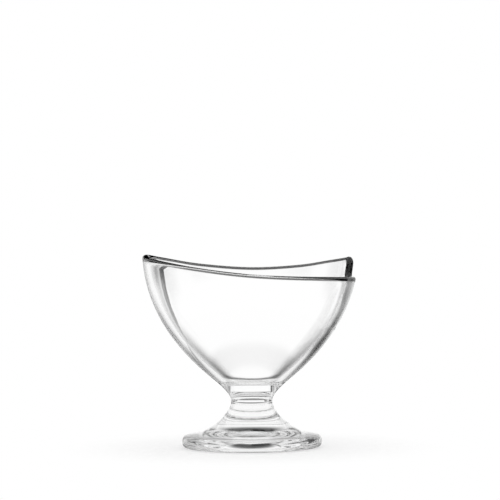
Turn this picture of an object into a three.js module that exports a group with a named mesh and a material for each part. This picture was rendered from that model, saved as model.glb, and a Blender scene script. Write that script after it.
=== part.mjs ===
// Footed ice cream cup in clear glass: a bowl with a stepped wave rim, a waisted stem and a round foot.
// Millimetres, +Z up. The origin is the centre of the circle that the foot stands on.
// The rim's step is behind the right-hand side, seen from the front (-Y).

import * as THREE from 'three';
import { mergeVertices } from 'three/addons/utils/BufferGeometryUtils.js';

// Foot
const FOOT_RADIUS = 34.5;
const FOOT_WIDEST_HEIGHT = 2.7;
const FOOT_SHOULDER_INSET = 1.9;
const FOOT_SHOULDER_HEIGHT = 6.05;
const FOOT_TOP_WIDTH = 10.02;
const FOOT_TOP_RISE = 2.75;
const FOOT_TOP_SLOPE = 0.136;
const FOOT_RING_WIDTH = 3.0;
const FOOT_RING_INSET = 3.6;
const FOOT_HOLLOW_DEPTH = 4.0;

// Stem
const STEM_BASE_SPREAD = 1.9;
const WAIST_RADIUS = 10.25;
const WAIST_HEIGHT = 22.71;

// Bowl
const BOWL_BASE_RADIUS = 17.46;
const BOWL_BASE_HEIGHT = 32.37;
const BOWL_BASE_SPREAD = 1.186;
const RIM_RADIUS = 53.44;
const RIM_SPREAD = 0.045;
const WALL = 3.7;
const CAVITY_BOTTOM_HEIGHT = 33.5;
const CAVITY_ROUND_HEIGHT = 2.5;
const BOWL_FLOOR = 5.5;

// Rim wave, turning from the right-hand side to the back: degrees, and drops from the tip
const TIP_HEIGHT = 95.2;
const TIP_ANGLE = 180;
const TIP_FRONT_ANGLE = 215;
const TIP_FRONT_DROP = 2.95;
const FRONT_ANGLE = 270;
const FRONT_DROP = 9.05;
const LOW_SIDE_ANGLE = 322;
const LOW_SIDE_DROP = 11.0;
const STEP_ANGLE = 13.3;
const STEP_HEIGHT = 9.5;
const STEP_TOP_FILLET = 4.0;
const STEP_ROOT_FILLET = 2.0;
const STEP_LEAST_FLAT = 0.5;
const HIGH_END_DROP = 1.9;
const HIGH_SIDE_ANGLE = 38;
const HIGH_SIDE_DROP = 3.7;
const BACK_RIGHT_ANGLE = 62;
const BACK_RIGHT_DROP = 6.3;
const BACK_ANGLE = 90;
const BACK_DROP = 7.4;
const BACK_LEFT_ANGLE = 120;
const BACK_LEFT_DROP = 5.3;
const TIP_BACK_ANGLE = 150;
const TIP_BACK_DROP = 1.75;

// Pulls: the share of a run's straight length over which it keeps to the direction of its end
const HOLLOW_PULLS = [0.5, 0.2];
const FOOT_LOWER_PULLS = [0.55, 0.4];
const FOOT_UPPER_PULLS = [0.4, 0.35];
const FOOT_TOP_PULLS = [0.49, 0.34];
const FLARE_PULLS = [0.503, 0.193];
const NECK_PULLS = [0.19, 0.6];
const WALL_PULLS = [0.145, 0.506];
const CAVITY_PULLS = [0.8, 0.35];

// Facets
const TURN_SEGMENTS = 64;
const CURVE_STEPS = 8;
const EDGE_STEPS = 4;
const WALL_STEPS = 16;
const WALL_ROWS = 6;
const LIP_STEPS = 6;
const WAVE_STEPS = 76;
const STEP_ROOT_STEPS = 4;
const STEP_FACE_STEPS = 2;
const STEP_TOP_STEPS = 5;

// Joint faces, where the stem fuses to the foot below it and to the bowl above it
const JOINT_BOTTOM = FOOT_SHOULDER_HEIGHT + FOOT_TOP_RISE;
const JOINT_TOP = CAVITY_BOTTOM_HEIGHT - BOWL_FLOOR;

const LIP_RADIUS = WALL / 2;

const point = (radius, height) => new THREE.Vector2(radius, height);
const UP = point(0, 1);
const OUTWARD = point(1, 0);

// A smooth run between two profile points that leaves and arrives in given directions.
function run(from, fromWay, to, toWay, [fromPull, toPull]) {
  const reach = from.distanceTo(to);
  const leave = from.clone().addScaledVector(fromWay.clone().normalize(), fromPull * reach);
  const arrive = to.clone().addScaledVector(toWay.clone().normalize(), -toPull * reach);
  return new THREE.CubicBezierCurve(from, leave, arrive, to);
}

// Radius of a rising profile at a height, straight on past both ends.
function radiusAt(profile, height) {
  let i = 1;
  while (i < profile.length - 1 && profile[i].y < height) i += 1;
  const low = profile[i - 1];
  const high = profile[i];
  return low.x + ((high.x - low.x) * (height - low.y)) / (high.y - low.y);
}

// The part of a rising profile between two heights, with its ends cut exactly there.
function between(profile, low, high) {
  const inside = profile.filter((p) => p.y > low && p.y < high);
  return [point(radiusAt(profile, low), low), ...inside, point(radiusAt(profile, high), high)];
}

// Outer profile from the stem's base to the tip of the rim.
const shoulder = point(FOOT_RADIUS - FOOT_SHOULDER_INSET, FOOT_SHOULDER_HEIGHT);
const stemBase = point(shoulder.x - FOOT_TOP_WIDTH, JOINT_BOTTOM);
const waist = point(WAIST_RADIUS, WAIST_HEIGHT);
const bowlBase = point(BOWL_BASE_RADIUS, BOWL_BASE_HEIGHT);
const rimEdge = point(RIM_RADIUS, TIP_HEIGHT);
const stemWay = point(-STEM_BASE_SPREAD, 1);
const bowlWay = point(BOWL_BASE_SPREAD, 1);
const rimWay = point(RIM_SPREAD, 1);

const flare = run(stemBase, stemWay, waist, UP, FLARE_PULLS).getPoints(CURVE_STEPS);
const neck = run(waist, UP, bowlBase, bowlWay, NECK_PULLS).getPoints(CURVE_STEPS);
const wallCurve = run(bowlBase, bowlWay, rimEdge, rimWay, WALL_PULLS);
const wall = wallCurve.getPoints(WALL_STEPS);
const outside = [...flare, ...neck.slice(1), ...wall.slice(1)];

// The inner face runs parallel to the outer wall and closes in a rounded bottom.
const innerWall = wall.map((p, i) => {
  const along = wallCurve.getTangent(i / WALL_STEPS);
  return point(p.x - WALL * along.y, p.y + WALL * along.x);
});
const roundTop = CAVITY_BOTTOM_HEIGHT + CAVITY_ROUND_HEIGHT;
const cavityWall = between(innerWall, roundTop, TIP_HEIGHT);
const cavityWay = cavityWall[1].clone().sub(cavityWall[0]);
const cavityBottom = point(0, CAVITY_BOTTOM_HEIGHT);
const cavityRound = run(cavityBottom, OUTWARD, cavityWall[0], cavityWay, CAVITY_PULLS);
const inside = [...cavityRound.getPoints(CURVE_STEPS), ...cavityWall.slice(1)];

function solid(name, geometry) {
  geometry.deleteAttribute('normal');
  geometry.deleteAttribute('uv');
  const closed = mergeVertices(geometry);
  closed.computeVertexNormals();
  const clearGlass = new THREE.MeshStandardMaterial({
    color: 0xf2f5f5,
    roughness: 0.03,
    metalness: 0,
    transparent: true,
    opacity: 0.35,
  });
  const mesh = new THREE.Mesh(closed, clearGlass);
  mesh.name = name;
  return mesh;
}

function turned(name, profile) {
  const geometry = new THREE.LatheGeometry(profile, TURN_SEGMENTS);
  geometry.rotateX(Math.PI / 2);
  return solid(name, geometry);
}

// The foot stands on a narrow ring round a shallow hollow. Its edge swells under a soft shoulder,
// and its top slopes up to the flat face under the stem.
function foot() {
  const ringOuter = point(FOOT_RADIUS - FOOT_RING_INSET, 0);
  const ringInner = point(ringOuter.x - FOOT_RING_WIDTH, 0);
  const hollowTop = point(0, FOOT_HOLLOW_DEPTH);
  const widest = point(FOOT_RADIUS, FOOT_WIDEST_HEIGHT);
  const slope = point(-1, FOOT_TOP_SLOPE);
  const runs = [
    run(hollowTop, OUTWARD, ringInner, ringInner.clone().sub(hollowTop), HOLLOW_PULLS),
    run(ringOuter, OUTWARD, widest, UP, FOOT_LOWER_PULLS),
    run(widest, UP, shoulder, slope, FOOT_UPPER_PULLS),
    run(shoulder, slope, stemBase, stemWay, FOOT_TOP_PULLS),
  ];
  const side = runs.flatMap((part) => part.getPoints(EDGE_STEPS));
  const profile = side.filter((p, i) => i === 0 || !p.equals(side[i - 1]));
  return turned('foot', [...profile, point(0, JOINT_BOTTOM)]);
}

// The stem is solid, with a flat round face at each end.
function stem() {
  const side = between(outside, JOINT_BOTTOM, JOINT_TOP);
  return turned('stem', [point(0, JOINT_BOTTOM), ...side, point(0, JOINT_TOP)]);
}

// The rim line, drawn on the wall unrolled flat: x is the angle times the rim radius, y the height.
// It starts at the high end of the step, waves round the back, the tip and the front, runs nearly
// level along the low side and climbs the step: a root fillet, a straight face and a top fillet.
function rimLine() {
  const along = (degrees) => THREE.MathUtils.degToRad(degrees) * RIM_RADIUS;
  const crest = (degrees, drop) => point(along(degrees), TIP_HEIGHT - drop);
  const highEnd = TIP_HEIGHT - HIGH_END_DROP;
  const lowEnd = highEnd - STEP_HEIGHT;
  const room = (STEP_HEIGHT - STEP_LEAST_FLAT) / (STEP_TOP_FILLET + STEP_ROOT_FILLET);
  const topFillet = STEP_TOP_FILLET * Math.min(1, room);
  const rootFillet = STEP_ROOT_FILLET * Math.min(1, room);
  const face = along(STEP_ANGLE + 360);
  const line = new THREE.Path();
  line.moveTo(along(STEP_ANGLE) + topFillet, highEnd);
  line.splineThru([
    crest(HIGH_SIDE_ANGLE, HIGH_SIDE_DROP),
    crest(BACK_RIGHT_ANGLE, BACK_RIGHT_DROP),
    crest(BACK_ANGLE, BACK_DROP),
    crest(BACK_LEFT_ANGLE, BACK_LEFT_DROP),
    crest(TIP_BACK_ANGLE, TIP_BACK_DROP),
    crest(TIP_ANGLE, 0),
    crest(TIP_FRONT_ANGLE, TIP_FRONT_DROP),
    crest(FRONT_ANGLE, FRONT_DROP),
    crest(LOW_SIDE_ANGLE, LOW_SIDE_DROP),
    point(face - rootFillet, lowEnd),
  ]);
  line.absarc(face - rootFillet, lowEnd + rootFillet, rootFillet, -Math.PI / 2, 0, false);
  line.lineTo(face, highEnd - topFillet);
  line.absarc(face + topFillet, highEnd - topFillet, topFillet, Math.PI, Math.PI / 2, true);
  return line;
}

// Rim stations in order round the cup, each with its place on the unrolled wall, the way into the
// glass at right angles to the rim line, and the angle at which its column meets the bowl's base.
function rimStations() {
  const [wave, root, face, top] = rimLine().curves;
  const stretches = [
    [wave, WAVE_STEPS],
    [root, STEP_ROOT_STEPS],
    [face, STEP_FACE_STEPS],
    [top, STEP_TOP_STEPS],
  ];
  const stations = [];
  let travelled = 0;
  let faceTravel = 0;
  for (const [curve, steps] of stretches) {
    const length = curve.getLength();
    if (curve === face) faceTravel = travelled;
    for (let i = 0; i < steps; i += 1) {
      const along = curve.getTangentAt(i / steps);
      stations.push({
        at: curve.getPointAt(i / steps),
        intoGlass: point(along.y, -along.x),
        travel: travelled + (length * i) / steps,
      });
    }
    travelled += length;
  }
  const faceTurn = THREE.MathUtils.degToRad(STEP_ANGLE + 360);
  for (const station of stations) {
    station.baseTurn = faceTurn + (2 * Math.PI * (station.travel - faceTravel)) / travelled;
  }
  return stations;
}

// The bowl is one closed skin of rings: up the outside, over the rounded lip and down the inside.
// Rings of the lower half are level. Rings of the upper half blend from level to the wave of the lip.
function bowl() {
  const stations = rimStations();
  const levelTop = (BOWL_BASE_HEIGHT + TIP_HEIGHT) / 2;
  const spot = (turn, radius, height) =>
    new THREE.Vector3(radius * Math.cos(turn), radius * Math.sin(turn), height);
  const level = (p) => stations.map((s) => spot(s.baseTurn, p.x, p.y));

  const blended = (profile, rise) =>
    stations.map((s) => {
      const top = s.at.clone().addScaledVector(s.intoGlass, LIP_RADIUS);
      const height = THREE.MathUtils.lerp(levelTop, top.y, rise);
      const turn = THREE.MathUtils.lerp(s.baseTurn, top.x / RIM_RADIUS, rise);
      return spot(turn, radiusAt(profile, height), height);
    });

  // A ring of the half-round lip, at an angle over it from the outer face (0) to the inner face (pi).
  const overLip = (angle) =>
    stations.map((s) => {
      const p = s.at.clone().addScaledVector(s.intoGlass, LIP_RADIUS * (1 - Math.sin(angle)));
      const inward = (1 - Math.cos(angle)) / 2;
      const radius = THREE.MathUtils.lerp(radiusAt(wall, p.y), radiusAt(innerWall, p.y), inward);
      return spot(p.x / RIM_RADIUS, radius, p.y);
    });

  const rises = Array.from({ length: WALL_ROWS - 1 }, (_, i) => (i + 1) / WALL_ROWS);
  const angles = Array.from({ length: LIP_STEPS + 1 }, (_, i) => (Math.PI * i) / LIP_STEPS);
  const rings = [
    ...between(outside, JOINT_TOP, levelTop).map(level),
    ...rises.map((rise) => blended(wall, rise)),
    ...angles.map(overLip),
    ...rises.toReversed().map((rise) => blended(innerWall, rise)),
    ...between(inside, CAVITY_BOTTOM_HEIGHT, levelTop).slice(1).reverse().map(level),
  ];

  const count = stations.length;
  const positions = rings.flat().flatMap((p) => p.toArray());
  const triangles = [];
  for (let ring = 0; ring < rings.length - 1; ring += 1) {
    for (let i = 0; i < count; i += 1) {
      const a = ring * count + i;
      const b = ring * count + ((i + 1) % count);
      triangles.push(a, b, b + count, a, b + count, a + count);
    }
  }
  const underside = rings.length * count;
  const pole = underside + 1;
  const lastRing = (rings.length - 1) * count;
  positions.push(0, 0, JOINT_TOP, 0, 0, CAVITY_BOTTOM_HEIGHT);
  for (let i = 0; i < count; i += 1) {
    const next = (i + 1) % count;
    triangles.push(underside, next, i, pole, lastRing + i, lastRing + next);
  }
  const geometry = new THREE.BufferGeometry();
  geometry.setAttribute('position', new THREE.Float32BufferAttribute(positions, 3));
  geometry.setIndex(triangles);
  return solid('bowl', geometry);
}

const cup = new THREE.Group();
cup.add(foot(), stem(), bowl());

export default cup;
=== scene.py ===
# %% [markdown]
# # A footed ice cream cup in clear glass
# The real cup is one pressing of clear glass: a bowl with a wavy, stepped rim, a waisted stem and a round
# foot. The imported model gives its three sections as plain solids. Glass shows every face that light
# crosses, also the ones inside, so the looks need one unbroken skin over all three. This lesson works
# that skin out with numpy, gives it a glass finish, and sets it in a white studio where glass shows by
# its dark edges. All lengths are in metres.

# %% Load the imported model
import math

import bpy
import numpy as np
from mathutils import Matrix, Vector


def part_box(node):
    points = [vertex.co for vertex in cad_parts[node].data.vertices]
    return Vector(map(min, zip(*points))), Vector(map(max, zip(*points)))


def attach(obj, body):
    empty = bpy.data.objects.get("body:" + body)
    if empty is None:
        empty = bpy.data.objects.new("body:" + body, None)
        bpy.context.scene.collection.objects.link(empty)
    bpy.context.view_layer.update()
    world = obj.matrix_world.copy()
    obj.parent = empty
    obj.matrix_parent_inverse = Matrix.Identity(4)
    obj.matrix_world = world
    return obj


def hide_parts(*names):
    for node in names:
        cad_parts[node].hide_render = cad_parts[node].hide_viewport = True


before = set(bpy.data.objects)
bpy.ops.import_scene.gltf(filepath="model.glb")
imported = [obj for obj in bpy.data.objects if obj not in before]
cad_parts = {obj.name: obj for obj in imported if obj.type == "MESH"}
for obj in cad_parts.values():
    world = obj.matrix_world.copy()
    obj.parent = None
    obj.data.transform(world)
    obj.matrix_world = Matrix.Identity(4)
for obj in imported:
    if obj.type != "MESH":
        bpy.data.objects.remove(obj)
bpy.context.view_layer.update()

MM = 1000
bowl_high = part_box("bowl")[1]
stem_low, stem_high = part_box("stem")
foot_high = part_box("foot")[1]

# %% [markdown]
# ## The profile
# Cut the cup through its axis and one curve shows the whole form: the hollow under the foot, the swelling
# edge, the flare up to the waist, the wall of the bowl, and the inner face down to the bottom of the
# cavity. A lathe could turn it. A few points and directions fix that curve. A point is a radius and a
# height, and a way is a direction in the same plane.

# %% Points and directions of the profile
TIP_HEIGHT = bowl_high.z
FOOT_RADIUS = foot_high.x
STEM_BASE = np.array([stem_high.x, stem_low.z])
WAIST = np.array([0.01025, 0.02271])
BOWL_BASE = np.array([0.01746, 0.03237])
RIM_RADIUS = 0.05344
RIM_EDGE = np.array([RIM_RADIUS, TIP_HEIGHT])
WALL = 0.0037
UP = (0.0, 1.0)
OUTWARD = (1.0, 0.0)
FLARE_WAY = (-1.90, 1.0)
BOWL_WAY = (1.186, 1.0)
RIM_WAY = (0.045, 1.0)
print("waist %.1f mm across, foot %.1f mm across" % (2 * MM * WAIST[0], 2 * MM * FOOT_RADIUS))

# %% [markdown]
# ## Smooth runs
# Each stretch of the profile is a cubic Bezier run that leaves and arrives in a chosen direction, so two
# runs that share a point and a direction join smoothly. A pull says how long a run keeps to the direction
# of one of its ends. The inner face of the bowl is the outer one, moved inwards by the thickness of the
# wall, as the plunger of a press leaves it.

# %% Runs from the stem to the rim
FLARE_PULLS, FLARE_ROWS = (0.503, 0.193), 18
NECK_PULLS, NECK_ROWS = (0.19, 0.60), 14
WALL_PULLS = (0.145, 0.506)
FINE = 600


def run(start, start_way, end, end_way, pulls, steps):
    """Cubic Bezier points (radius, height) from start to end, steps + 1 of them. Each inner control point
    lies along its own end's direction, at a share (its pull) of the straight distance between the two
    ends."""
    start, end = np.asarray(start, float), np.asarray(end, float)
    reach = np.linalg.norm(end - start)
    leave = start + np.array(start_way) / np.linalg.norm(start_way) * pulls[0] * reach
    arrive = end - np.array(end_way) / np.linalg.norm(end_way) * pulls[1] * reach
    t = np.linspace(0.0, 1.0, steps + 1)[:, None]
    return (1 - t) ** 3 * start + 3 * (1 - t) ** 2 * t * leave + 3 * (1 - t) * t**2 * arrive + t**3 * end


def offset(profile, distance):
    """A profile moved sideways by a distance, to the left of its own direction of travel."""
    along = np.gradient(profile, axis=0)
    along /= np.linalg.norm(along, axis=1)[:, None]
    return profile + distance * np.stack([-along[:, 1], along[:, 0]], axis=1)


flare = run(STEM_BASE, FLARE_WAY, WAIST, UP, FLARE_PULLS, FLARE_ROWS)
neck = run(WAIST, UP, BOWL_BASE, BOWL_WAY, NECK_PULLS, NECK_ROWS)
wall = run(BOWL_BASE, BOWL_WAY, RIM_EDGE, RIM_WAY, WALL_PULLS, FINE)
inner_wall = offset(wall, WALL)
print("points: flare %d, neck %d, wall %d" % (len(flare), len(neck), len(wall)))

# %% [markdown]
# ## The cavity
# The inside of a pressed bowl ends in a nearly flat bottom with a rounded corner. A ball-shaped bottom
# would bend light quite differently. So the inner face stops a little above the bottom, and one more run
# goes from the axis out to that point, where it takes on the direction of the face.

# %% Rounded bottom of the cavity
CAVITY_BOTTOM = np.array([0.0, 0.0335])
CAVITY_ROUND_HEIGHT = 0.0025
CAVITY_PULLS, CAVITY_ROUND_ROWS = (0.8, 0.35), 18


def radius_at(profile, height):
    """Radius of a rising profile at each height, by straight steps between its points."""
    return np.interp(height, profile[:, 1], profile[:, 0])


round_end = CAVITY_BOTTOM[1] + CAVITY_ROUND_HEIGHT
round_point = np.array([radius_at(inner_wall, round_end), round_end])
join = int(np.searchsorted(inner_wall[:, 1], round_end))
join_way = inner_wall[join + 1] - inner_wall[join - 1]
cavity_round = run(CAVITY_BOTTOM, OUTWARD, round_point, join_way, CAVITY_PULLS, CAVITY_ROUND_ROWS)
print("cavity radius at its rounding: %.1f mm" % (MM * round_point[0]))

# %% [markdown]
# ## The foot
# A pressed foot stands on a narrow ring round a shallow hollow, so that it doesn't rock. Its edge swells
# out to the widest place and turns in again to a shoulder, from which the top slopes up to the stem.
# Five stretches make it, from the middle of the hollow outwards and up.

# %% Profile of the foot
EDGE_HEIGHT = 0.0027
SHOULDER_IN, SHOULDER_HEIGHT = 0.0019, 0.00605
RING_IN, RING_WIDTH, RING_POINTS = 0.0036, 0.0030, 8
HOLLOW_DEPTH = 0.0040
SLOPE_WAY = (-1.0, 0.136)
HOLLOW_PULLS, HOLLOW_ROWS = (0.5, 0.2), 10
LOWER_PULLS, LOWER_ROWS = (0.55, 0.4), 8
UPPER_PULLS, UPPER_ROWS = (0.4, 0.35), 8
TOP_PULLS, TOP_ROWS = (0.49, 0.34), 10

foot_widest = np.array([FOOT_RADIUS, EDGE_HEIGHT])
foot_shoulder = np.array([FOOT_RADIUS - SHOULDER_IN, SHOULDER_HEIGHT])
ring_outer = np.array([FOOT_RADIUS - RING_IN, 0.0])
ring_inner = ring_outer - (RING_WIDTH, 0.0)
hollow_top = np.array([0.0, HOLLOW_DEPTH])
hollow = run(hollow_top, OUTWARD, ring_inner, ring_inner - hollow_top, HOLLOW_PULLS, HOLLOW_ROWS)
ring = np.linspace(ring_inner, ring_outer, RING_POINTS)
foot_lower = run(ring_outer, OUTWARD, foot_widest, UP, LOWER_PULLS, LOWER_ROWS)
foot_upper = run(foot_widest, UP, foot_shoulder, SLOPE_WAY, UPPER_PULLS, UPPER_ROWS)
foot_top = run(foot_shoulder, SLOPE_WAY, STEM_BASE, FLARE_WAY, TOP_PULLS, TOP_ROWS)
stretches = [hollow, ring, foot_lower, foot_upper, foot_top, flare, neck]
below_bowl = np.concatenate([stretch[1:] for stretch in stretches])
print("profile points below the bowl:", len(below_bowl))

# %% [markdown]
# ## The rim line
# The rim rises to a tip on the left, dips at the back, and climbs a step behind the right-hand side.
# Unrolled, the wall is a flat strip, and the rim is a line on it: a smooth wave, a rounded root, a
# straight face and a rounded top corner. The wave goes through a few knots, each an angle in degrees
# round the cup and a drop under the height of the tip.

# %% The rim on the unrolled wall
STEP_TURN = math.radians(13.3)
STEP_HEIGHT = 0.0095
STEP_TOP_FILLET, STEP_ROOT_FILLET = 0.0040, 0.0020
STEP_TOP_DROP = 0.0019
FILLET_POINTS, FACE_POINTS = 80, 40
WAVE_DROPS = [(38, 0.0037), (62, 0.0063), (90, 0.0074), (120, 0.0053), (150, 0.00175), (180, 0.0),
              (215, 0.00295), (270, 0.00905), (322, 0.0110)]


def wave(knots, steps):
    """Catmull-Rom spline through the knots, steps points to each span: a cubic whose direction at a knot
    is half the way from the knot before it to the knot after it."""
    before = np.concatenate([knots[:1], knots[:-1]])
    after = np.concatenate([knots[1:], knots[-1:]])
    way = (after - before) / 2
    t = np.linspace(0.0, 1.0, steps, endpoint=False)[None, :, None]
    p, q, v, w = (a[:, None, :] for a in (knots[:-1], knots[1:], way[:-1], way[1:]))
    ease = 3 * t**2 - 2 * t**3
    spans = p + ease * (q - p) + (t**3 - 2 * t**2 + t) * v + (t**3 - t**2) * w
    return spans.reshape(-1, 2)


def arc(centre, radius, start, end, steps):
    """Points on a circle round centre, from angle start towards angle end, without the end point."""
    turn = np.linspace(start, end, steps, endpoint=False)
    return np.asarray(centre) + radius * np.stack([np.cos(turn), np.sin(turn)], axis=1)


high_end = TIP_HEIGHT - STEP_TOP_DROP
low_end = high_end - STEP_HEIGHT
face = (STEP_TURN + 2 * math.pi) * RIM_RADIUS
face_low, face_high = (face, low_end + STEP_ROOT_FILLET), (face, high_end - STEP_TOP_FILLET)
root_centre = (face - STEP_ROOT_FILLET, face_low[1])
corner_centre = (face + STEP_TOP_FILLET, face_high[1])
degrees, drops = np.array(WAVE_DROPS).T
knots = np.concatenate([
    [(STEP_TURN * RIM_RADIUS + STEP_TOP_FILLET, high_end)],
    np.stack([np.radians(degrees) * RIM_RADIUS, TIP_HEIGHT - drops], axis=1),
    [(face - STEP_ROOT_FILLET, low_end)],
])
rim_line = np.concatenate([
    wave(knots, FINE),
    arc(root_centre, STEP_ROOT_FILLET, -math.pi / 2, 0, FILLET_POINTS),
    np.linspace(face_low, face_high, FACE_POINTS, endpoint=False),
    arc(corner_centre, STEP_TOP_FILLET, math.pi, math.pi / 2, FILLET_POINTS),
])
print("rim line: %d knots, %d points" % (len(knots), len(rim_line)))

# %% [markdown]
# ## Stations along the rim
# Stations are spread along this line, closer together at the step, and each one is the top of a column of
# the skin. Low down, the columns stand round the axis in the same spread, turned so that the one under
# the middle of the step's face stands straight.

# %% Stations along the rim
COLUMNS = 576
STEP_DENSITY = 2.5
STEP_NEAR = 0.012


def bell(distance, width):
    """Bell curve: one at no distance, falling off over the width."""
    return np.exp(-((distance / width) ** 2))


once_round = np.array([2 * math.pi * RIM_RADIUS, 0.0])
half_round = once_round[0] / 2
closed_line = np.concatenate([rim_line, rim_line[:1] + once_round])
lengths = np.linalg.norm(np.diff(closed_line, axis=0), axis=1)
to_step = np.abs((closed_line[:-1, 0] - face + half_round) % once_round[0] - half_round)
weights = lengths * (1 + (STEP_DENSITY - 1) * bell(to_step, STEP_NEAR))
travel = np.concatenate([[0.0], np.cumsum(weights)])
stations = np.linspace(0.0, travel[-1], COLUMNS, endpoint=False)
rim_at = np.stack([np.interp(stations, travel, closed_line[:, k]) for k in (0, 1)], axis=1)
step_points = 2 * FILLET_POINTS + FACE_POINTS + 1
face_travel = np.interp(low_end + STEP_HEIGHT / 2, closed_line[-step_points:, 1], travel[-step_points:])
base_turn = STEP_TURN + 2 * math.pi * (1 + (stations - face_travel) / travel[-1])
rim_low, rim_high = MM * rim_at[:, 1].min(), MM * rim_at[:, 1].max()
print("rim: %d stations, heights %.1f to %.1f mm" % (COLUMNS, rim_low, rim_high))

# %% [markdown]
# ## Into the glass
# The lip is rounded at right angles to the rim, also where the rim climbs the step. The direction along
# the rim at a station is the difference of its neighbours, and a quarter turn from it leads into the
# glass.

# %% Directions at the stations
rim_next = np.roll(rim_at, -1, axis=0)
rim_next[-1] += once_round
rim_last = np.roll(rim_at, 1, axis=0)
rim_last[0] -= once_round
rim_way = rim_next - rim_last
rim_way /= np.linalg.norm(rim_way, axis=1)[:, None]
into_glass = np.stack([rim_way[:, 1], -rim_way[:, 0]], axis=1)
print("steepest place of the rim: %.0f degrees" % np.degrees(np.arcsin(rim_way[:, 1].max())))

# %% [markdown]
# ## The skin
# The skin is a grid: each row is a ring round the cup, each column runs from the hollow under the foot up
# the outside, over the half-round lip, and down the inside. Low rings are level circles. Near the rim the
# rings blend from level to the wave, while their radius still comes from the profile at their own height,
# so the wall stays a true surface of revolution and only the lip follows the wave. Both faces go on a
# little past the tip, so that every height on the lip has a radius.

# %% Rings of the skin
LEVEL_TOP = 0.060
PAST_RIM = 0.004
LIP_RADIUS = WALL / 2

past_rim = PAST_RIM * np.array(RIM_WAY)
outer_face = np.concatenate([wall, wall[-1:] + past_rim])
inner_face = np.concatenate([inner_wall, inner_wall[-1:] + past_rim])


def level_rings(points):
    """Rings at one height each: the column's own base angle, the point's radius and the point's height."""
    turn = np.broadcast_to(base_turn, (len(points), COLUMNS))
    return turn, np.broadcast_to(points[:, :1], turn.shape), np.broadcast_to(points[:, 1:], turn.shape)


def blended_rings(profile, rises):
    """Rings between the level top and the foot of the lip: angle and height go straight from one to the
    other with the rise, and the radius is the profile's at that height."""
    lip_foot = rim_at + LIP_RADIUS * into_glass
    rise = np.asarray(rises)[:, None]
    turn = base_turn + rise * (lip_foot[:, 0] / RIM_RADIUS - base_turn)
    height = LEVEL_TOP + rise * (lip_foot[:, 1] - LEVEL_TOP)
    return turn, radius_at(profile, height), height


def lip_rings(angles):
    """Rings of the half-round lip: the depth under the rim is the lip's radius times one less the sine of
    the angle, and the radius goes from the outer to the inner face with its cosine."""
    angle = np.asarray(angles)[:, None]
    depth = LIP_RADIUS * (1 - np.sin(angle))
    turn = (rim_at[:, 0] + depth * into_glass[:, 0]) / RIM_RADIUS
    height = rim_at[:, 1] + depth * into_glass[:, 1]
    inward = (1 - np.cos(angle)) / 2
    return turn, radius_at(outer_face, height) * (1 - inward) + radius_at(inner_face, height) * inward, height


print("level rings up to %.0f mm, lip radius %.2f mm" % (MM * LEVEL_TOP, MM * LIP_RADIUS))

# %% [markdown]
# ## Rows of the grid
# The bands follow one another as a finger would trace them: under the foot and up the stem, up the outer
# face, over the lip, down the inner face, and in along the bottom of the cavity. Where two bands meet,
# only one of them has the shared ring.

# %% Bands of rows
MID_ROWS = 16
WALL_ROWS = 16
LIP_ROWS = 12
CAVITY_ROWS = 14


def level_points(profile, heights):
    """Points of a profile at the given heights."""
    return np.stack([radius_at(profile, heights), heights], axis=1)


mid_heights = np.linspace(BOWL_BASE[1], LEVEL_TOP, MID_ROWS + 1)
cavity_heights = np.linspace(LEVEL_TOP, round_end, CAVITY_ROWS + 1)
rises = np.linspace(0.0, 1.0, WALL_ROWS + 1)
bands = [
    level_rings(below_bowl),
    level_rings(level_points(outer_face, mid_heights[1:])),
    blended_rings(outer_face, rises[1:-1]),
    lip_rings(np.linspace(0.0, math.pi, LIP_ROWS + 1)),
    blended_rings(inner_face, rises[-2:0:-1]),
    level_rings(level_points(inner_face, cavity_heights)),
    level_rings(cavity_round[-2:0:-1]),
]
turn, radius, height = (np.concatenate([band[k] for band in bands]) for k in range(3))
print("grid: %d rows of %d columns" % turn.shape)

# %% [markdown]
# ## Ribs and mould seams
# Both are small changes of the grid itself. The ring that the cup stands on is reeded: fine ribs all
# round keep it from sticking to a wet tray, and they show through the clear foot as a row of dark dots.
# They lift the ring's height by a cosine of the angle. The seams, where the mould's halves met, are two
# faint ridges at the front and back of the stem, each a bell curve across its width that fades out
# towards its ends.

# %% Ribs under the foot and seams on the stem
RIBS = 128
RIB_DEPTH = 0.00030
RIB_SOFT = 0.0003
SEAM_RIDGE = 0.00004
SEAM_WIDTH = 0.00030
SEAM_BOTTOM, SEAM_TOP, SEAM_SOFT = 0.012, 0.034, 0.004


def fade(value, low, high, soft):
    """One between low and high, falling smoothly to zero over the soft length outside them."""
    outside = np.maximum(np.maximum(low - value, value - high), 0.0)
    return bell(outside, soft)


row = np.arange(len(height))[:, None]
on_underside = row < len(hollow) + len(ring)
on_ring = on_underside * fade(radius, ring_inner[0] + RIB_SOFT, ring_outer[0] - RIB_SOFT, RIB_SOFT)
ribbed_height = height + RIB_DEPTH * on_ring * (1 - np.cos(RIBS * turn)) / 2
on_outside = row < len(below_bowl)
seam_gap = radius * np.abs(np.cos(turn))
on_seam = on_outside * bell(seam_gap, SEAM_WIDTH) * fade(height, SEAM_BOTTOM, SEAM_TOP, SEAM_SOFT)
seamed_radius = radius + SEAM_RIDGE * on_seam
print("rib pitch %.2f mm" % (MM * 2 * math.pi * ring_outer[0] / RIBS))

# %% [markdown]
# ## The mesh
# The grid becomes four-sided faces between each row and the next, and the columns join up behind the last
# one, so there is no gap. A fan of triangles closes each end, at the middle of the hollow and of the
# cavity. The skin is then one closed shell whose faces all point out of the glass, which is what bent
# light needs.

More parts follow.
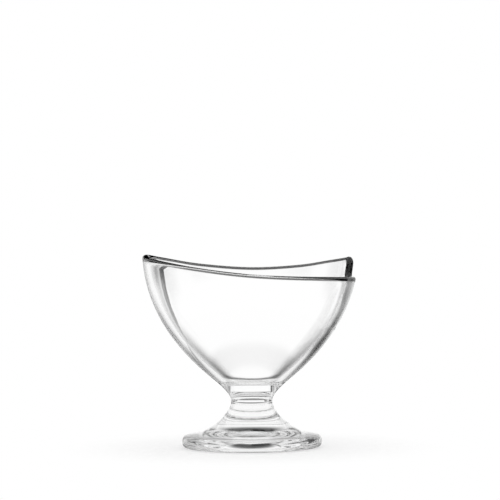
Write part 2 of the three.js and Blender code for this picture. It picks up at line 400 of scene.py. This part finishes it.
# %% Mesh of the skin
rows = len(turn)
across, deep = seamed_radius * np.cos(turn), seamed_radius * np.sin(turn)
grid = np.stack([across, deep, ribbed_height], axis=2).reshape(-1, 3)
poles = np.array([(0.0, 0.0, HOLLOW_DEPTH), (0.0, 0.0, CAVITY_BOTTOM[1])])
under_pole, cavity_pole = len(grid), len(grid) + 1
column = np.arange(COLUMNS)
next_column = (column + 1) % COLUMNS
row_start = np.arange(rows - 1)[:, None] * COLUMNS
quads = np.stack([row_start + column, row_start + next_column,
                  row_start + COLUMNS + next_column, row_start + COLUMNS + column], axis=2).reshape(-1, 4)
last_row = (rows - 1) * COLUMNS
fans = np.concatenate([
    np.stack([np.full(COLUMNS, under_pole), next_column, column], axis=1),
    np.stack([np.full(COLUMNS, cavity_pole), last_row + column, last_row + next_column], axis=1),
])
skin = bpy.data.meshes.new("glass_cup")
skin.from_pydata(np.concatenate([grid, poles]).tolist(), [], quads.tolist() + fans.tolist())
skin.shade_smooth()
skin.update()
cup = bpy.data.objects.new("glass_cup", skin)
bpy.context.scene.collection.objects.link(cup)
print("skin: %d vertices, %d triangles" % (len(skin.vertices), 2 * len(quads) + len(fans)))

# %% [markdown]
# ## Shader maths as expressions
# Node trees are easier to read as sums. A small class wraps a socket: its operators add Math nodes, and
# one method adds any other node.


# %% Sockets with operators
class Wire:
    """A node socket that can be used in an expression. Each operator adds one Math node to the socket's
    tree."""

    def __init__(self, tree, socket):
        self.tree = tree
        self.socket = socket

    @staticmethod
    def plug(tree, socket, value):
        """Link a wire to a socket, or set the socket's own value."""
        if isinstance(value, Wire):
            tree.links.new(value.socket, socket)
        else:
            socket.default_value = value

    @classmethod
    def node(cls, tree, kind, settings=None, output=0, **values):
        """A node of any kind. Settings, a ramp's stops among them, are set first, then the values or
        wires of its sockets, whose names have their spaces written as underscores, or in_0, in_1 and so
        on by number. The wire of the named or numbered output comes back, or nothing from an output node,
        which has none."""
        made = tree.nodes.new(kind)
        for name, value in (settings or {}).items():
            if name == "stops":
                cls.set_stops(made.color_ramp.elements, value)
            else:
                setattr(made, name, value)
        for name, value in values.items():
            key = int(name[3:]) if name.startswith("in_") else name.replace("_", " ")
            cls.plug(tree, made.inputs[key], value)
        return cls(tree, made.outputs[output]) if made.outputs else None

    @staticmethod
    def set_stops(elements, stops):
        """Give a ramp its stops, each a place from 0 to 1 and a grey level."""
        while len(elements) < len(stops):
            elements.new(0.5)
        for element, (place, grey) in zip(elements, stops):
            element.position = place
            element.color = (grey, grey, grey, 1.0)

    def math(self, operation, *others):
        """A Math node of the given operation on this wire and the others."""
        values = {"in_%d" % k: v for k, v in enumerate((self, *others))}
        return Wire.node(self.tree, "ShaderNodeMath", {"operation": operation}, **values)

    def __add__(self, other):
        return self.math("ADD", other)

    def __mul__(self, other):
        return self.math("MULTIPLY", other)

    def __sub__(self, other):
        return self.math("SUBTRACT", other)

    def __rsub__(self, other):
        return (self * -1.0) + other

    __radd__ = __add__
    __rmul__ = __mul__

    def step(self, low, high):
        """Smooth step from 0 at low to 1 at high."""
        return Wire.node(self.tree, "ShaderNodeMapRange", {"interpolation_type": "SMOOTHSTEP"},
                         Value=self, From_Min=low, From_Max=high)


def new_tree(owner):
    """An empty node tree of a material or world."""
    owner.use_nodes = True
    owner.node_tree.nodes.clear()
    return owner.node_tree


print("operators of a wire: + - *, and step")

# %% [markdown]
# ## The glass
# Clear soda-lime glass bends light by an index of 1.52. Pressed glass is never quite even: the mould
# chills it in soft ripples, which show as streaks. A bump of low, broad noise gives them.

# %% Clear pressed glass
GLASS_INDEX = 1.52
RIPPLE_SCALE = 90.0
RIPPLE_DETAIL = 1.0
RIPPLE_STRENGTH = 0.02
RIPPLE_HEIGHT = 0.001

glass = bpy.data.materials.new("clear_pressed_glass")
tree = new_tree(glass)
place = Wire.node(tree, "ShaderNodeTexCoord", output="Object")
ripple = Wire.node(tree, "ShaderNodeTexNoise", Vector=place, Scale=RIPPLE_SCALE, Detail=RIPPLE_DETAIL)
bump = Wire.node(tree, "ShaderNodeBump", Height=ripple, Strength=RIPPLE_STRENGTH, Distance=RIPPLE_HEIGHT)
clear = Wire.node(tree, "ShaderNodeBsdfPrincipled", Base_Color=(1.0, 1.0, 1.0, 1.0), Roughness=0.0,
                  IOR=GLASS_INDEX, Transmission_Weight=1.0, Normal=bump)
Wire.node(tree, "ShaderNodeOutputMaterial", Surface=clear)
skin.materials.append(glass)
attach(cup, "root")
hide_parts("bowl", "stem", "foot")
print("glass: index %.2f, ripples about %.0f mm apart" % (GLASS_INDEX, MM / RIPPLE_SCALE))

# %% [markdown]
# ## The studio
# Clear glass has no colour of its own and shows only what stands round it. A photographer sets it before
# a bright backdrop with darker surroundings, and each edge of the glass, where light bends far, picks up
# the dark. Lamps could do this, but a lamp also brightens the picture. Here the world is plain white to
# the camera and the floor, and only rays that the glass has mirrored or bent see a room. These helpers
# mix the levels of grey that the room is made of.

# %% Helpers for levels
WHITE = 1.0


def blend(share, low, high):
    """Straight mix of two values or wires: low where the share is 0, high where it is 1."""
    return low * (1 - share) + high * share


def level_along(tree, value, stops):
    """Grey level that runs straight from stop to stop, each a place on the value's own scale and a
    level."""
    first, last = stops[0][0], stops[-1][0]
    shares = [((place - first) / (last - first), grey) for place, grey in stops]
    share = (value - first) * (1 / (last - first))
    return Wire.node(tree, "ShaderNodeValToRGB", {"stops": shares}, Fac=share)


def axes(tree, vector):
    """The three parts of a vector, each a wire."""
    parts = Wire.node(tree, "ShaderNodeSeparateXYZ", Vector=vector).socket.node
    return [Wire(tree, part) for part in parts.outputs]


def through_glass(tree):
    """One for a ray that glass has mirrored or bent, zero for any other."""
    mirrored = Wire.node(tree, "ShaderNodeLightPath", output="Is Glossy Ray")
    bent = Wire.node(tree, "ShaderNodeLightPath", output="Is Transmission Ray")
    return mirrored.math("MAXIMUM", bent)


print("levels run from 0, black, to %.0f, white" % WHITE)

# %% [markdown]
# ## The room
# The room has a bright backdrop, dark walls at both sides with a bright window straight out to each side,
# and a fairly bright wall behind the camera. A dark strip runs above the backdrop, a shorter one below
# it, and the ceiling is white. No level is above white. Bearings are degrees round the cup from straight
# behind it, to the right, and rises are degrees above level. Each pair of them is a soft edge.

# %% The room that the glass sees
SIDE_LEVELS = [(36, 1.0), (40, 0.8), (44, 0.4), (50, 0.08), (66, 0.02), (74, 0.3), (80, 0.9), (100, 0.9),
               (106, 0.3), (114, 0.05), (130, 0.05), (146, 0.6), (180, 0.7)]
SIDES_FROM, SIDES_TO = (-16.0, -7.0), (14.0, 26.0)
ABOVE_FROM, ABOVE_TO, ABOVE_SIDE = (3.0, 28.0), (42.0, 52.0), (20.0, 45.0)
ABOVE_LEVEL = 0.06
OVERHEAD_FROM = (45.0, 60.0)
BELOW_FROM, BELOW_TO = (-60.0, -45.0), (-14.0, -7.0)
BELOW_LEFT, BELOW_RIGHT = (-32.0, -9.0), (24.0, 42.0)
BELOW_LEVEL = 0.04

world = bpy.data.worlds.new("studio")
bpy.context.scene.world = world
tree = new_tree(world)
x, y, z = axes(tree, Wire.node(tree, "ShaderNodeTexCoord", output="Generated"))
bearing = x.math("ARCTAN2", y) * math.degrees(1.0)
rise = z.math("ARCSINE") * math.degrees(1.0)
side = bearing.math("ABSOLUTE")
at_side = rise.step(*SIDES_FROM) * (1 - rise.step(*SIDES_TO))
above = rise.step(*ABOVE_FROM) * (1 - rise.step(*ABOVE_TO)) * (1 - side.step(*ABOVE_SIDE))
below = rise.step(*BELOW_FROM) * (1 - rise.step(*BELOW_TO))
below = below * bearing.step(*BELOW_LEFT) * (1 - bearing.step(*BELOW_RIGHT))
room = blend(at_side, WHITE, level_along(tree, side, [(0, WHITE)] + SIDE_LEVELS))
room = blend(above, room, ABOVE_LEVEL)
room = blend(rise.step(*OVERHEAD_FROM), room, WHITE)
room = blend(below, room, BELOW_LEVEL)
seen = Wire.node(tree, "ShaderNodeBackground", Strength=blend(through_glass(tree), WHITE, room),
                 Color=(WHITE, WHITE, WHITE, 1.0))
Wire.node(tree, "ShaderNodeOutputWorld", Surface=seen)
print("world: %d nodes" % len(tree.nodes))

# %% [markdown]
# ## Cards behind the cup
# The thin dark lines inside both walls of the bowl are the edges of cards that stand a hand's width
# behind a glass in such a set, and a black card that hangs higher, on the left, darkens the rim's tip.
# Lines drawn on the world would be infinitely far away, and each part of the cup would show them in
# another place than a near card. So these are real upright sheets, which the camera and the floor don't
# see. The level of a card runs from stop to stop across it. Low down it is multiplied by itself, which
# makes a grey darker and keeps black and white. The bottom and the top of a card are soft.

# %% Upright cards
CARD_DISTANCE, CARD_TOP = 0.14, 0.13
CARD_DARKENS = (0.020, 0.065)
CARD_SOFT_TOP = 0.03
LEFT_FADE, RIGHT_FADE = (-0.005, 0.010), (0.015, 0.028)
HEAD_DISTANCE, HEAD_TOP, HEAD_FADE = 0.15, 0.20, (0.100, 0.108)
LEFT_CARD = [(-0.120, 1.0), (-0.105, 0.8), (-0.096, 0.45), (-0.087, 0.4), (-0.0785, 0.7), (-0.0762, 0.0),
             (-0.0676, 0.0)]
RIGHT_CARD = [(0.080, 1.0), (0.088, 0.35), (0.100, 0.3), (0.112, 0.5), (0.123, 0.55), (0.134, 0.4),
              (0.145, 0.3), (0.157, 0.4), (0.190, 0.75), (0.220, 1.0)]
HEAD_CARD = [(-0.140, 0.0), (0.0, 0.0)]


def card(name, distance, stops, fade_in, top):
    """An upright rectangle behind the cup, as wide as its stops and from the start of its fade up to its
    top."""
    left, right, bottom = stops[0][0], stops[-1][0], fade_in[0]
    places = [(left, bottom), (right, bottom), (right, top), (left, top)]
    sheet = bpy.data.meshes.new(name)
    sheet.from_pydata([(x, distance, z) for x, z in places], [], [(0, 1, 2, 3)])
    made = bpy.data.objects.new(name, sheet)
    bpy.context.scene.collection.objects.link(made)
    made.visible_camera = made.visible_diffuse = made.visible_shadow = False
    finish = bpy.data.materials.new(name)
    tree = new_tree(finish)
    across, _, up = axes(tree, Wire.node(tree, "ShaderNodeTexCoord", output="Object"))
    level = level_along(tree, across, stops)
    level = blend(up.step(*CARD_DARKENS), level * level, level)
    solid = up.step(*fade_in) * (1 - up.step(top - CARD_SOFT_TOP, top))
    glow = Wire.node(tree, "ShaderNodeEmission", Strength=level)
    clear = Wire.node(tree, "ShaderNodeBsdfTransparent")
    mixed = Wire.node(tree, "ShaderNodeMixShader", in_0=solid, in_1=clear, in_2=glow)
    Wire.node(tree, "ShaderNodeOutputMaterial", Surface=mixed)
    sheet.materials.append(finish)
    print("%s: %.0f mm wide" % (name, MM * (right - left)))


card("left_card", CARD_DISTANCE, LEFT_CARD, LEFT_FADE, CARD_TOP)
card("right_card", CARD_DISTANCE, RIGHT_CARD, RIGHT_FADE, CARD_TOP)
card("head_card", HEAD_DISTANCE, HEAD_CARD, HEAD_FADE, HEAD_TOP)

# %% [markdown]
# ## The floor
# The cup stands on white paper that has no visible end. A large lit plane would turn grey with distance,
# so the paper is a small disc: near its middle it is half matt, and takes the cup's soft shadow, and
# towards its edge it turns into pure glow at the white of the world, so the edge can't be seen. Rays
# through the glass see a plainer paper with a painted shadow: its glow is darker under the front of the
# foot's ring, where the cup's shadow would fall, and it is dark far behind the cup.

# %% White paper
FLOOR_RADIUS = 0.11
FLOOR_SIDES = 96
FLOOR_DROP = 0.0002
MATT_SHARE = 0.5
MATT_TO = (0.05, 0.10)
# Painted shadow of the cup on the paper, seen only through the glass: where it lies and how dark it is.
PAINTED_SHADOW_FROM, PAINTED_SHADOW_TO = (0.016, 0.026), (0.042, 0.055)
PAINTED_SHADOW_BACK = (0.0, 0.02)
PAINTED_SHADOW_LEVEL = 0.1
BACK_FROM, PAPER_LEVEL, BACK_LEVEL = (0.05, 0.09), 0.95, 0.1

floor_turn = np.linspace(0.0, 2 * math.pi, FLOOR_SIDES, endpoint=False)
floor_ring = FLOOR_RADIUS * np.stack([np.cos(floor_turn), np.sin(floor_turn), 0.0 * floor_turn], axis=1)
floor_mesh = bpy.data.meshes.new("floor")
floor_mesh.from_pydata((floor_ring - (0.0, 0.0, FLOOR_DROP)).tolist(), [], [list(range(FLOOR_SIDES))])
floor = bpy.data.objects.new("floor", floor_mesh)
bpy.context.scene.collection.objects.link(floor)
paper = bpy.data.materials.new("white_paper")
tree = new_tree(paper)
spot = Wire.node(tree, "ShaderNodeTexCoord", output="Object")
distance = Wire.node(tree, "ShaderNodeVectorMath", {"operation": "LENGTH"}, output="Value", in_0=spot)
matt_here = MATT_SHARE * (1 - distance.step(*MATT_TO))
behind = axes(tree, spot)[1]
# Painted shadow: for rays through the glass, the paper's glow is darker under the front of the foot's ring,
# in place of the cup's shadow.
painted_ring_shadow = distance.step(*PAINTED_SHADOW_FROM) * (1 - distance.step(*PAINTED_SHADOW_TO))
painted_ring_shadow = painted_ring_shadow * (1 - behind.step(*PAINTED_SHADOW_BACK))
board = blend(painted_ring_shadow, WHITE, PAINTED_SHADOW_LEVEL) * blend(behind.step(*BACK_FROM), PAPER_LEVEL, BACK_LEVEL)
glass_ray = through_glass(tree)
glow = Wire.node(tree, "ShaderNodeEmission", Strength=blend(glass_ray, WHITE - matt_here, board))
matt = Wire.node(tree, "ShaderNodeBsdfDiffuse", Color=matt_here * (1 - glass_ray))
both = Wire.node(tree, "ShaderNodeAddShader", in_0=glow, in_1=matt)
Wire.node(tree, "ShaderNodeOutputMaterial", Surface=both)
floor_mesh.materials.append(paper)
print("floor: %.0f mm across" % (2 * MM * FLOOR_RADIUS))

# %% [markdown]
# ## The camera
# The photograph was taken from a little above the rim. Two facts give the camera: the size of a pixel at
# the cup, and the row where the horizon would be, which is the height of the lens. The lens follows from
# the pixel's size and the distance. The whole view is turned by less than half a degree, as the
# photograph is. Clear glass needs many bounces, because light crosses a dozen faces or more before it
# leaves the foot.

# %% Camera and light paths
PIXEL = 0.000493
IMAGE = 500
GROUND_ROW = 447.0
HORIZON_ROW = 225.0
AXIS_COLUMN = 250.6
CAMERA_DISTANCE = 1.2
ROLL = math.radians(-0.42)
GLASS_BOUNCES = 48
MIRROR_BOUNCES = 16

camera_data = bpy.data.cameras.new("camera")
camera = bpy.data.objects.new("camera", camera_data)
bpy.context.scene.collection.objects.link(camera)
camera_data.lens = camera_data.sensor_width * CAMERA_DISTANCE / (IMAGE * PIXEL)
aside = (IMAGE / 2 - AXIS_COLUMN) * PIXEL
stand = Vector((aside, -CAMERA_DISTANCE, (GROUND_ROW - HORIZON_ROW) * PIXEL))
aim = Vector((aside, 0.0, (GROUND_ROW - IMAGE / 2) * PIXEL))
look = (aim - stand).to_track_quat("-Z", "Y").to_matrix().to_4x4()
camera.matrix_world = Matrix.Translation(stand) @ look @ Matrix.Rotation(ROLL, 4, "Z")
scene = bpy.context.scene
scene.camera = camera
scene.view_settings.view_transform = "Standard"
scene.cycles.max_bounces = scene.cycles.transmission_bounces = GLASS_BOUNCES
scene.cycles.glossy_bounces = MIRROR_BOUNCES
print("lens %.1f mm, camera %.0f mm above the table" % (camera_data.lens, MM * stand.z))

# %% [markdown]
# ## Update
# The scene is brought up to date once the cup is dressed.

# %% Bring the scene up to date
bpy.context.view_layer.update()
